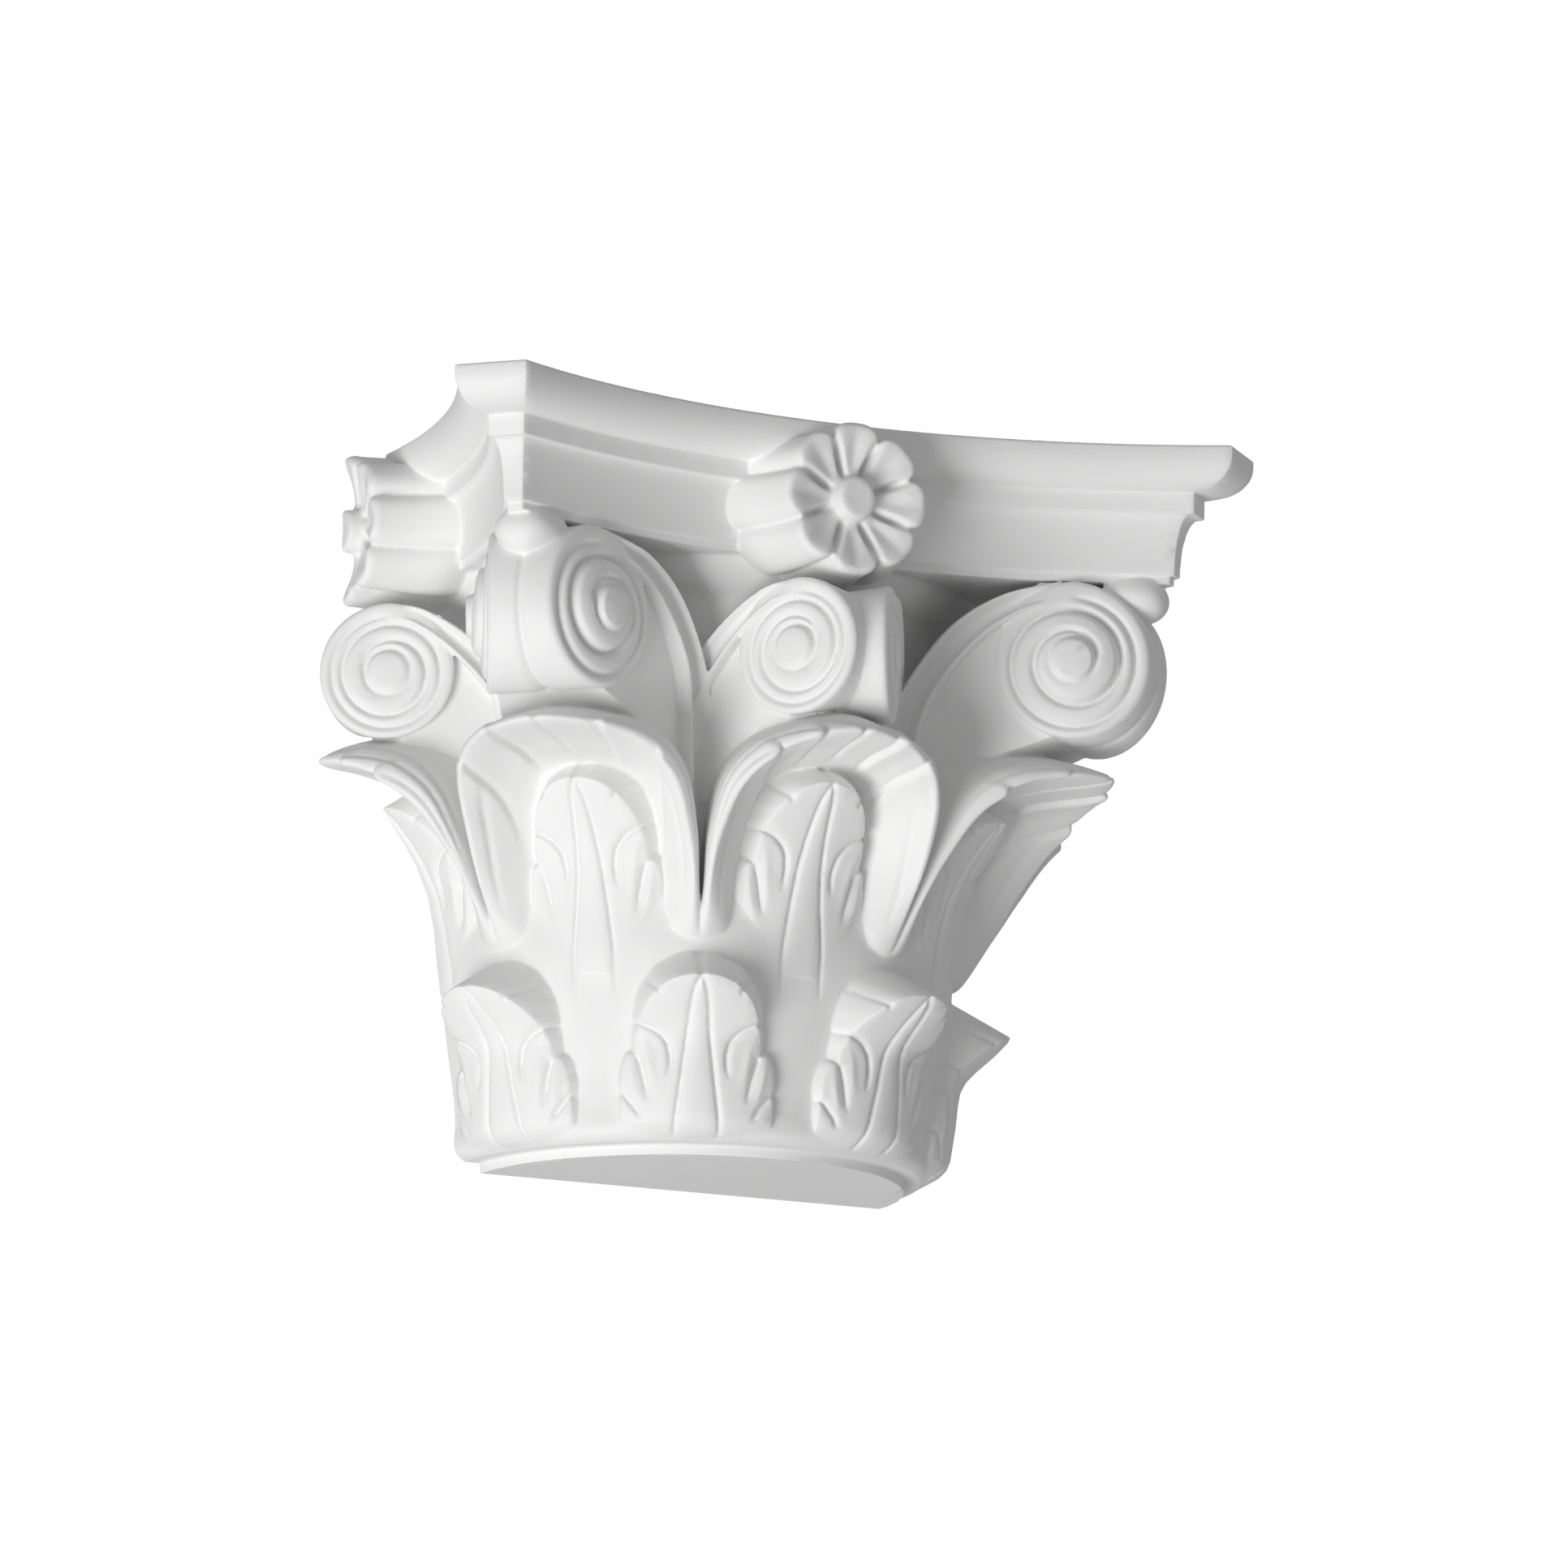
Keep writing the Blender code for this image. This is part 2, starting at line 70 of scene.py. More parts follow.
def curve_through(controls, count):
    """A smooth curve through rows of numbers: between two rows, the cubic whose slope at each is
    half the step between that row's neighbours, taken at evenly spaced places."""
    controls = np.asarray(controls, float)
    padded = np.concatenate([2 * controls[:1] - controls[1:2], controls,
                             2 * controls[-1:] - controls[-2:-1]])
    place = np.linspace(0, len(controls) - 1, count)
    before = np.minimum(place.astype(int), len(controls) - 2)
    t = (place - before).reshape((-1,) + (1,) * (controls.ndim - 1))
    a, b, c, d = (padded[before + step] for step in range(4))
    return 0.5 * (2 * b + (c - a) * t + (2 * a - 5 * b + 4 * c - d) * t**2
                  + (3 * b - a - 3 * c + d) * t**3)


def add_body(sections):
    """A closed body: each row of the grid is a closed loop, joined to the next row by quads, and
    the first and last loops are filled."""
    grid = np.asarray(sections, float)
    rows, columns = grid.shape[:2]
    first = sum(len(block) for block in POINTS)
    index = first + np.arange(rows * columns).reshape(rows, columns)
    beside = np.roll(index, -1, axis=1)
    quads = np.stack([index[:-1], beside[:-1], beside[1:], index[1:]], -1).reshape(-1, 4)
    POINTS.append(grid.reshape(-1, 3))
    FACES.extend(quads.tolist())
    FACES.append(index[0, ::-1].tolist())
    FACES.append(index[-1].tolist())


def polar(degrees_off, height, radius):
    """A point from its angle off the front, its height and its distance from the axis."""
    angle = np.radians(degrees_off)
    angle, height, radius = np.broadcast_arrays(angle, height, radius)
    return np.stack([radius * np.sin(angle), -radius * np.cos(angle), height], -1)


def turned_core(start, end):
    """A sector of the bell: the profile turned about the axis and closed at a line behind it. Two
    V grooves carry each upper leaf's spine on downward, and their depth fades on the way."""
    profile = np.concatenate([curve_through(BELL, 120), curve_through(FOOT, 24),
                              [(PLUG_RADIUS, PLUG_TOP), (PLUG_RADIUS, 0.0)]])
    angles = np.arange(start, end, 0.4)
    height = profile[None, :, 1]
    off_leaf = np.abs((angles[:, None] + EIGHTH / 2) % EIGHTH - EIGHTH / 2)
    half_spine = np.interp(height, (50.0, 74.0), (8.6, 8.1))
    away = np.abs(np.radians(off_leaf) * LEAF_ARC - half_spine)
    fade = np.interp(height, (56.0, 66.0, 84.0, 86.0), (0.0, 0.75, 1.0, 0.0))
    groove = fade * np.clip(1 - away / SPINE_GROOVE_HALF_WIDTH, 0, 1)
    outside = polar(angles[:, None], height, profile[None, :, 0] - SPINE_GROOVE_DEPTH * groove)
    behind = np.zeros((len(angles), 2, 3))
    behind[...] = [(*BEHIND, 0.0), (*BEHIND, BELL_TOP)]
    return np.concatenate([outside, behind], axis=1)


add_body(turned_core(-18.0, 64.0))

# The abacus.
# The slab on top, hollow on each side and cut off at the corners, carried round with one moulding:
# a quarter round over a flat band over a long hollow that runs in to the bell's lip.
CORNER = 164.8
CHORD = 145.2
HOLLOW = 38.3
CUT_DRAW = 1.47
QUARTER_TOP = 3.0
QUARTER_TALL = 12.6
QUARTER_DEEP = 10.4
BAND_IN = 11.6
COVE_TOP = 23.5
COVE_IN = 12.8
COVE_TALL = 22.5
COVE_DEEP = 4.6
LIP_IN = 18.8


def abacus_line(offset):
    """The front side from its middle to the corner and the next side from there on, as arcs of one
    radius, drawn in by an offset, with the cut corner between them."""
    radius = (CHORD**2 + HOLLOW**2) / (2 * HOLLOW)
    centre = CORNER - HOLLOW + radius
    cut = CORNER + CHORD - math.sqrt(2) * offset * CUT_DRAW
    far = radius + offset
    shift = cut - centre
    x_end = (shift + math.sqrt(2 * far**2 - shift**2)) / 2
    end = math.asin(x_end / far)
    angles = np.linspace(-0.25 * end, end, 44)
    front = np.stack([far * np.sin(angles), -centre + far * np.cos(angles)], -1)
    side = -front[::-1, ::-1]
    corner = front[-1] + np.linspace(0, 1, 12)[1:-1, None] * (side[0] - front[-1])
    return np.concatenate([front, corner, side, [BEHIND]])


def abacus_levels():
    """How far down and how far in each level of the moulding lies. The round and the hollow are
    each a quarter of an ellipse: one size times the angle's sine, the other times 1 less its
    cosine."""
    turn = np.linspace(0, math.pi / 2, 14)[1:]
    levels = [(0.0, 0.8), (0.4, 0.2), (0.9, 0.0), (QUARTER_TOP, 0.0)]
    levels += zip(QUARTER_TOP + QUARTER_TALL * np.sin(turn), QUARTER_DEEP * (1 - np.cos(turn)))
    levels += [(15.6, BAND_IN), (17.0, BAND_IN), (23.2, BAND_IN), (COVE_TOP, 11.9), (COVE_TOP, COVE_IN)]
    levels += zip(COVE_TOP + COVE_TALL * (1 - np.cos(turn)), COVE_IN + COVE_DEEP * np.sin(turn))
    return levels + [(46.0, LIP_IN), (49.0, LIP_IN)]


slab = []
for drop, offset in abacus_levels():
    line = abacus_line(offset)
    slab.append(np.column_stack([line, np.full(len(line), TOP - drop)]))
add_body(slab)

# The leaves of both tiers.
# Acanthus leaves in low relief: a spine between two sharp grooves, lobes marked off by hooked
# grooves, and a side wall that follows each lobe down to the bell.
LOBES = [
    [(31.0, -8.0), (31.0, 0.0), (30.8, 8.0), (30.2, 14.2), (29.2, 15.3)],
    [(29.2, 15.3), (30.2, 18.5), (29.8, 23.0), (28.4, 27.5), (26.6, 29.6), (24.6, 29.0), (23.2, 28.3)],
    [(23.2, 28.3), (23.9, 31.5), (23.6, 35.5), (22.4, 39.0), (21.5, 40.2)],
    [(21.5, 40.2), (20.8, 42.5), (18.2, 46.6), (15.4, 49.6), (13.9, 50.8)],
    [(13.9, 50.8), (12.6, 51.9), (9.8, 53.6), (5.0, 55.1), (0.0, 55.7)],
]
SPINE = [(9.2, -8.0), (9.2, 0.0), (7.8, 10.0), (6.2, 21.0), (4.05, 37.6), (2.4, 49.5), (0.0, 55.7)]
HOOK = [(21.5, 40.2), (18.0, 38.9), (14.6, 36.7), (12.2, 34.0), (11.3, 31.9), (10.6, 27.7), (11.0, 23.5),
        (12.4, 19.8)]
SECOND = [(23.2, 28.3), (22.3, 25.8), (21.4, 22.6), (20.2, 17.5), (18.9, 11.9)]
THIRD = [(29.2, 15.3), (26.8, 12.5), (24.6, 10.1), (23.0, 7.6), (21.6, 5.2)]
TOP_NOTCH = [(13.9, 50.8), (12.9, 49.4)]
RIB = [(26.0, 27.5), (25.8, 22.5), (24.2, 16.0), (22.4, 11.0)]
LOBE_RIDGE = [(21.6, 36.5), (19.6, 31.5), (18.2, 24.0), (17.2, 17.0)]
GROOVE_HALF_WIDTH = 1.3
BEVEL_WIDTH = 3.4
LEAF_GRID_WIDTH = 38.0
LEAF_LEAN = 0.0042
LEAF_FLOOR = 88.0
ROOT = 80.0


def shares_along(line):
    """How far along a line each of its points lies: the lengths before it over the whole."""
    lengths = np.hypot(*np.diff(line, axis=0).T)
    return np.concatenate([[0.0], np.cumsum(lengths)]) / lengths.sum()


def nearest(x, z, line):
    """The distance of each point to a line of short pieces, and how far along the line, from 0 to 1,
    its nearest place lies. On one piece that is the foot of the point's plumb line to it."""
    shares = shares_along(line)
    best = np.full(x.shape, np.inf)
    along = np.zeros(x.shape)
    for start, step, begun, ended in zip(line[:-1], np.diff(line, axis=0), shares[:-1], shares[1:]):
        t = np.clip(((x - start[0]) * step[0] + (z - start[1]) * step[1]) / (step @ step), 0, 1)
        away = np.hypot(x - start[0] - t * step[0], z - start[1] - t * step[1])
        closer = away < best
        best = np.where(closer, away, best)
        along = np.where(closer, begun + t * (ended - begun), along)
    return best, along


def within(x, z, outline):
    """Whether each point lies inside a closed outline: a level line from it to the right crosses the
    outline an odd number of times."""
    inside = np.zeros(x.shape, bool)
    for (ax, az), (bx, bz) in zip(outline, np.roll(outline, -1, axis=0)):
        if az == bz:
            continue
        crosses = (az > z) != (bz > z)
        inside ^= crosses & (x < ax + (z - az) * (bx - ax) / (bz - az))
    return inside


def leaf_relief(x, z):
    """How far the leaf's face lies under its plain curve: V grooves with a slack bevel beside them,
    which fade over their last third but for the spine's, and ridges that stand out as the sine of
    the way along them. The spine swells with the distance from its grooves."""
    sunk = np.zeros(x.shape)
    for line, deep, fades in ((SPINE, 1.8, False), (HOOK, 2.3, True), (SECOND, 1.9, True),
                              (THIRD, 1.8, True), (TOP_NOTCH, 1.4, True)):
        away, along = nearest(x, z, curve_through(line, 60))
        strength = np.clip((1 - along) / 0.35, 0, 1) if fades else 1.0
        narrow = np.clip(1 - away / GROOVE_HALF_WIDTH, 0, 1) ** 1.2
        slack = np.clip(1 - away / BEVEL_WIDTH, 0, 1) ** 2 * (0.9 if fades else 0.4)
        sunk += strength * (deep * narrow + slack * 0.7)
    for line, tall, wide in ((RIB, 1.0, 2.6), (LOBE_RIDGE, 0.9, 3.0)):
        away, along = nearest(x, z, curve_through(line, 40))
        sunk -= tall * np.clip(1 - away / wide, 0, 1) ** 1.3 * np.sin(np.pi * (0.1 + 0.85 * along))
    away = nearest(x, z, curve_through(SPINE, 60))[0]
    half_spine = np.interp(z, [point[1] for point in SPINE], [point[0] for point in SPINE])
    return sunk - np.where(np.abs(x) < half_spine, 0.5 * np.clip(away / 5.0, 0, 1), 0.0)


def leaf_body(base, width, tall, front, slope, start, end):
    """A leaf over a grid of arc and height. Its edge is smooth through each lobe, from one notch to
    the next. Inside it the radius is the front's curve, less a lean with the square of the arc, less
    the relief. Outside it falls off from the nearest place of the edge with a steady slope, down to
    the surface behind. One half is worked out and mirrored."""
    step = 0.4
    up = np.arange(start, end, step)
    z, x = np.meshgrid(up, np.arange(0.0, LEAF_GRID_WIDTH * width, step), indexing="ij")

    def face(x, z):
        return front(z) - LEAF_LEAN * x**2 - leaf_relief(x / width, (z - base) / tall)

    smooth = [curve_through(lobe, 5 * len(lobe) - 4) for lobe in LOBES]
    edge = np.concatenate([lobe[:-1] for lobe in smooth] + [smooth[-1][-1:]])
    foot, tip = edge[0, 1], edge[-1, 1]
    closed = np.concatenate([edge, [(-1.0, tip), (-1.0, foot)]])
    outside = ~within(x / width, (z - base) / tall, closed)
    along = nearest(x / width, (z - base) / tall, edge)[1]
    place = shares_along(edge)
    edge_x = np.interp(along, place, edge[:, 0]) * width
    edge_z = base + np.interp(along, place, edge[:, 1]) * tall
    inner = face(x, z)
    wall = np.minimum(face(edge_x, edge_z), inner + 0.5) - slope * np.hypot(x - edge_x, z - edge_z)
    radius = np.maximum(np.where(outside, wall, inner), LEAF_FLOOR)
    whole_x = np.concatenate([-x[:, :0:-1], x], axis=1)
    whole_z, whole_radius = (np.concatenate([half[:, :0:-1], half], axis=1) for half in (z, radius))
    return whole_x, whole_z, whole_radius


def leaf_at(azimuth, grid):
    """Sets a leaf's grid at an angle and closes it behind with a plain face near the axis."""
    x, z, radius = grid
    face = polar(azimuth + np.degrees(x / LEAF_ARC), z, radius)
    ends = azimuth + np.degrees(np.stack([x[:, -1], x[:, 0]], axis=1) / LEAF_ARC)
    return np.concatenate([face, polar(ends, z[:, :2], ROOT)], axis=1)


def lower_front(height):
    """The lower leaf's middle seen from the side, from its rounded foot up to its tip, as straight
    pieces between given heights."""
    return np.interp(height, (4, 5.5, 7.5, 10, 13, 17, 26, 34, 39.5, 43.4, 48, 55.3, 60.5, 66),
                     (89, 93.6, 96.8, 99.2, 100.4, 101, 102.4, 103.2, 104.2, 106.3, 110.7, 118.8,
                      123.6, 127))


def upper_front(height):
    """The upper leaf's middle seen from the side, up to its tip, as straight pieces between given
    heights."""
    return np.interp(height, (40, 60, 77, 90, 103, 114, 122, 128, 134.5, 140),
                     (97.6, 99.4, 101.7, 103.2, 106, 111, 116.3, 121, 126.8, 131))


lower = leaf_body(5.0, 1.0, 0.998, lower_front, 1.8, 4.6, 84.0)
add_body(leaf_at(EIGHTH / 2, lower))
upper = leaf_body(74.0, 0.88, 1.08, upper_front, 1.5, 50.0, 152.0)
add_body(leaf_at(0.0, upper))
add_body(leaf_at(EIGHTH, upper))

# The hoods.
# Behind each upper leaf a second one bends over it like a cowl. Its hollow runs from the inner
# leaf out to a rim in overlapped lobes, and its back falls away steeply to the bell.
LEG = [
    [(15.6, 82, 96), (17.6, 78.5, 97), (20.3, 77, 98), (22.2, 76.5, 97.5), (22.8, 76, 96)],
    [(14.6, 86, 97), (17.2, 82.5, 102.5), (20.2, 81, 105), (22.3, 80, 104), (22.9, 79, 98)],
    [(13.6, 98, 96), (17.4, 97, 107), (20.6, 97, 115), (21.9, 97, 113), (22.2, 97, 100)],
    [(13.0, 112, 98), (16.9, 113, 112), (19.4, 114, 125), (21.2, 116, 122), (21.8, 118, 100)],
]
SIDE_COWL = [
    [(11.8, 126, 103), (14.6, 129, 120), (16.4, 131, 136), (18.4, 136, 129), (19.4, 140, 100)],
    [(8.6, 138, 113), (9.4, 141, 128), (9.9, 143.5, 146), (11.6, 150, 134), (12.4, 157, 98)],
    [(0.0, 142, 117), (0.0, 146, 134), (0.0, 149, 152), (0.0, 158, 136), (0.0, 167, 97)],
]
CORNER_COWL = [
    [(12.0, 126, 103), (15.0, 130, 121), (17.0, 133, 139), (18.8, 137, 132), (19.6, 140, 100)],
    [(9.2, 138, 113), (10.3, 141.5, 131), (11.0, 144.5, 154), (12.6, 150, 141), (13.2, 157, 98)],
    [(0.0, 142, 117), (0.0, 145.5, 140), (0.0, 148, 168), (0.0, 157, 145), (0.0, 167, 97)],
]
SIDE_TEETH = (0.0, 5.8, 11.8)
CORNER_TEETH = (0.0, 7.5, 15.1)
TOOTH_SIZES = (0.45, 1.0, 0.9)
FINGER_REACHES = (1.05, 0.75, 0.42)
RIM_STEP = 2.2
LOBE_DEPTH = 2.0
SIDE_FINGER = 0.9
CORNER_FINGER = 0.35
HOOD_ROWS = 181
HOOD_PLACES = 73


def lap(beyond):
    """How far a lobe stands out this far beyond its tooth: a quick rise and a slow easing back."""
    begun = 1 / (1 + np.exp(-(beyond - 0.3) / 0.13))
    return begun * np.exp(-np.maximum(beyond, 0) / 3.4)


def finger_folds(rim, across, teeth):
    """How far the folds on the outer side stand out. From each tooth one runs down beside the rim.
    It widens as 1 less a falling exponential of the way down, and a groove marks its far edge."""
    steps = np.linalg.norm(np.diff(polar(*rim.T), axis=0), axis=1)
    gone = np.concatenate([[0.0], np.cumsum(steps)])[:, None]
    folds = np.zeros((len(rim), across.shape[1]))
    for tooth, reach in zip(teeth, FINGER_REACHES):
        past = np.interp(tooth, rim[::-1, 0], gone[::-1, 0]) - gone
        edge = 2.0 + reach * (1 - np.exp(-np.maximum(past, 0) / 14.0))
        there = np.clip((past - 0.5) / 2.5, 0, 1) * np.clip((75.0 - past) / 40.0, 0, 1)
        ribbon = np.clip((across - 1.9) / 0.15, 0, 1) / (1 + np.exp((across - edge) / 0.03))
        folds += there * (ribbon - np.exp(-((across - edge - 0.05) / 0.07) ** 2))
    return folds


def hood_half(cowl, teeth, finger):
    """Half a hood over a grid of angles, heights and radii: along it from the leg's end to the
    middle, and across it from the inner edge over the rim to the foot. Past each tooth the rim steps
    out and eases back. Along the surface's normal the lobes overlap in the same way, each with a
    groove at its near side, and the fingers stand out on the outer side."""
    half = np.asarray(LEG + cowl, float)
    whole = np.concatenate([half, half[-2::-1] * (-1, 1, 1)])
    along = curve_through(whole, 2 * HOOD_ROWS - 1)[:HOOD_ROWS]
    grid = np.swapaxes(curve_through(np.swapaxes(along, 0, 1), HOOD_PLACES), 0, 1)
    angle, height, radius = np.moveaxis(grid, -1, 0)
    rim = along[:, 2]
    place = np.linspace(0, 1, HOOD_ROWS)[:, None]
    across = np.linspace(0, 4, HOOD_PLACES)[None]
    step = np.zeros((HOOD_ROWS, 1))
    lobes = np.zeros(angle.shape)
    for tooth, size in zip(teeth, TOOTH_SIZES):
        step += RIM_STEP * size * lap(rim[:, :1] - tooth)
        lobes += size * (lap(angle - tooth) - 0.55 * np.exp(-((angle - tooth + 0.1) / 0.55) ** 2))
    rise = np.clip((place - 0.42) / 0.3, 0, 1)
    share = np.interp(across, (0, 1, 2, 3, 4), (0.0, 0.45, 1.0, 0.4, 0.0))
    line = polar(angle, height + 0.3 * share * step * rise, radius + share * rise * (step - 1.0))
    lined = np.clip((across - 0.1) / 0.6, 0, 1) * np.clip((2.3 - across) / 0.3, 0, 1)
    side_line = np.exp(-((across - 1.45) / 0.11) ** 2) * np.clip((place - 0.22) / 0.2, 0, 1)
    side_line = side_line * np.clip((0.72 - place) / 0.12, 0, 1)
    carved = LOBE_DEPTH * lobes * lined * rise - side_line + finger * finger_folds(rim, across, teeth)
    normal = np.cross(np.gradient(line, axis=0), np.gradient(line, axis=1))
    normal /= np.maximum(np.linalg.norm(normal, axis=-1, keepdims=True), 1e-9)
    normal *= -np.sign(normal[-1, HOOD_PLACES // 4, 2])
    normal[-1, :, 0] = 0.0
    root = polar(np.stack([angle[:, -1], 0.6 * angle[:, 0]], -1),
                 np.stack([height[:, -1], height[:, 0] - 6.0], -1), ROOT)
    return np.concatenate([line + carved[..., None] * normal, root], axis=1)


def turned(points, azimuth):
    """Points made at the front, turned about the axis to an angle off it."""
    turn = math.radians(azimuth)
    c, s = math.cos(turn), math.sin(turn)
    return points @ np.array([[c, s, 0], [-s, c, 0], [0, 0, 1]])


def hood_body(azimuth, cowl, teeth, finger):
    """A whole hood: one half from its leg to the middle, and its mirror image back to the other."""
    half = hood_half(cowl, teeth, finger)
    return turned(np.concatenate([half, half[-2::-1] * (-1, 1, 1)]), azimuth)


def egg(azimuth, height, radius, sizes):
    """An egg-shaped body of level rings, set at an angle. Its three half sizes are multiplied by the
    cosine or sine of the ring's rise and of the way round it."""
    rise = np.linspace(-math.pi / 2, math.pi / 2, 18)[1:-1, None]
    around = np.linspace(0, 2 * math.pi, 33)[:-1][None]
    sideways = sizes[0] * np.cos(rise) * np.cos(around)
    out = radius + sizes[1] * np.cos(rise) * np.sin(around)
    return polar(azimuth + np.degrees(sideways / radius), height + sizes[2] * np.sin(rise), out)


add_body(egg(EIGHTH / 2, 85.5, 99.5, (5.2, 5.6, 7.4)))
add_body(hood_body(0.0, SIDE_COWL, SIDE_TEETH, SIDE_FINGER))
add_body(hood_body(EIGHTH, CORNER_COWL, CORNER_TEETH, CORNER_FINGER))

# The volutes and the helices.
# Ribbons rise from between the hoods and curl into scrolls. Two like scrolls meet back to back
# on the corner's diagonal under the abacus, and two smaller ones meet under the flower.
VOLUTE = {
    "outline": [(0.0, 31.2), (0.25, 29.6), (0.5, 28.5), (0.75, 28.0), (0.9, 29.6), (1.0, 31.2)],
    "line": [(0.0, 24.4), (0.25, 23.9), (0.5, 24.3), (0.75, 22.4), (1.0, 19.5), (1.25, 18.1),
             (1.5, 16.4), (1.75, 13.9), (2.0, 11.2), (2.25, 9.6)],
    "depth": [(0.0, 0.3), (0.05, 2.0), (0.7, 2.2), (0.95, 4.0), (1.35, 4.0), (1.5, 3.4), (1.9, 3.0),
              (2.2, 1.8), (2.25, 0.0)],
    "cone": [(0.0, 3.6), (7.0, 3.2), (8.4, 1.8), (13.0, 0.3), (15.5, -0.9), (23.0, -3.4),
             (31.0, -4.9)],
    "eye": 8.9,
}
VOLUTE_STALK = [
    [(-69, -100, -15), (-72, -60, -13), (-70.5, -28, -11), (-62, -9, -7), (-46, 12.5, -5),
     (-27, 25.0, -4.6), (-4, 31.4, -4.4)],
    [(-60, -100, -13), (-60, -60, -12), (-56.5, -31, -10.5), (-49.5, -11, -6.6), (-34, 7.6, -4.8),
     (-18, 18.5, -4.2), (-3, 24.2, -3.8)],
]
VOLUTE_WEB = [(6, 31, -8), (-12, 31, -8), (-27, 20, -8), (-46, 8, -8), (-62, -12, -12), (-70, -45, -17),
              (-60, -60, -17), (-46, -50, -14), (-32, -36, -11), (-2, -26, -8), (16, 0, -8),
              (12, 22, -8)]
HELIX = {
    "outline": [(0.0, 26.6), (0.25, 25.6), (0.5, 24.8), (0.75, 24.8), (0.9, 25.7), (1.0, 26.6)],
    "line": [(0.0, 21.0), (0.25, 21.0), (0.5, 20.6), (0.75, 19.6), (1.0, 18.0), (1.25, 17.2),
             (1.5, 16.0), (1.75, 14.2), (2.0, 12.0), (2.25, 9.9)],
    "depth": [(0.0, 0.3), (0.05, 1.6), (0.7, 1.6), (1.0, 2.2), (1.9, 2.2), (2.15, 1.6), (2.25, 0.0)],
    "cone": [(0.0, 2.2), (6.4, 1.8), (8.2, 0.8), (15.0, 0.3), (26.0, 0.0)],
    "eye": 8.8,
}
HELIX_STALK = [
    [(-78, -95, -8), (-72, -55, -6), (-62, -25, -4), (-47, -2, -2), (-30, 14, -0.5), (-14, 23.5, 0),
     (-1, 26.6, 0)],
    [(-68, -95, -8), (-61, -57, -6), (-50, -28, -4), (-36, -6, -2), (-22, 9, -0.5), (-10, 17.5, 0),
     (0, 20.5, 0)],
]
HELIX_WEB = [(-4, 24, -4), (-24, 14, -4), (-42, -2, -5), (-60, -28, -7), (-66, -50, -8), (-40, -54, -7),
             (-20, -40, -5), (-2, -22, -4), (12, 0, -4), (8, 16, -4)]
VOLUTE_BEAD = 3.1
HELIX_BEAD = 1.9
STALK_DEPTH = 9.0


def face_frame(eye, normal_degrees):
    """A scroll's face: its eye, and the directions along it and out of it."""
    angle = math.radians(normal_degrees)
    normal = np.array([math.sin(angle), -math.cos(angle), 0.0])
    along = np.array([math.cos(angle), math.sin(angle), 0.0])
    return np.array(eye, float), along, normal


def on_face(face, along, up, out):
    """Points at these distances along, up and out of a scroll's face."""
    eye, direction, normal = face
    along, up, out = np.broadcast_arrays(np.asarray(along, float), up, out)
    lifted = eye + along[..., None] * direction + out[..., None] * normal
    lifted[..., 2] += up
    return lifted


def across_plane(points, plane_degrees):
    """Mirrors points at the upright plane through the axis at this angle off the front."""
    angle = math.radians(plane_degrees)
    side = np.array([math.cos(angle), math.sin(angle), 0.0])
    return points - 2 * (points @ side)[..., None] * side


def scroll_relief(turns, radius, outline, shape):
    """How far each place of a scroll's face stands out: a stepped cone that goes by the radius, cut
    by a V groove with a slack bevel and a small ledge inside it along a line whose radius and depth
    go by the turn, cut again by a ring round the eye that is deepest at the upper right, and rounded
    off at the rim."""
    height = np.interp(radius, *np.asarray(shape["cone"]).T)
    line_turns, line_radius = curve_through(shape["line"], 200).T
    for whole in range(3):
        deep = np.interp(turns + whole, *np.asarray(shape["depth"]).T, right=0.0)
        away = radius - np.interp(turns + whole, line_turns, line_radius)
        narrow = np.clip(1 - np.abs(away) / (1.0 + 0.24 * deep), 0, 1)
        slack = np.clip(1 - np.abs(away) / BEVEL_WIDTH, 0, 1) ** 2
        ledge = np.clip(-away, -1, 1) * np.exp(-np.abs(away) / 4.0)
        height = height - deep * (0.7 * narrow + 0.5 * slack - 0.22 * ledge)
    crescent = np.clip(0.3 + np.cos(2 * math.pi * (turns - 0.15)), 0, 1)
    ringed = np.clip(1 - np.abs(radius - shape["eye"]) / 1.5, 0, 1)
    rounded = np.clip((radius - outline + 2.0) / 2.0, 0, 1)
    return height - (0.8 + 1.9 * crescent) * ringed - 1.3 * rounded**2


def scroll_body(face, plane, shape, valley):
    """A scroll over a grid of turns, clockwise from the top, and shares of its radius, with the same
    on the far side. The rim between the two faces is level with them at its edges and sunk to a
    valley in its middle."""
    turns = np.linspace(0, 1, 241)[:-1][:, None]
    outline = np.interp(turns, *np.asarray(shape["outline"]).T)
    radius = outline * np.linspace(0, 1, 120)[None]
    height = scroll_relief(turns, radius, outline, shape)
    along = radius * np.sin(2 * math.pi * turns)
    up = radius * np.cos(2 * math.pi * turns)
    near = np.swapaxes(on_face(face, along, up, height), 0, 1)[1:]
    far = across_plane(near, plane)
    rim = []
    for step in np.linspace(0, 1, 17)[1:-1]:
        between = near[-1] + step * (far[-1] - near[-1])
        outward = between - between.mean(axis=0)
        outward = outward / np.linalg.norm(outward, axis=-1, keepdims=True)
        rim.append(between - valley(step) * outward)
    return np.concatenate([near, rim, far[::-1]])


def volute_valley(step):
    """How far the volute's rim is sunk: a narrow bell curve for the seam in its middle, less a low
    sine swell from edge to edge."""
    return 1.5 * np.exp(-((step - 0.5) / 0.05) ** 2) - 0.25 * np.sin(np.pi * step)


def helix_valley(step):
    """How far the helix's rim is sunk: two straight slopes down to the seam in its middle."""
    return 4.2 * (1 - abs(2 * step - 1)) - 0.3


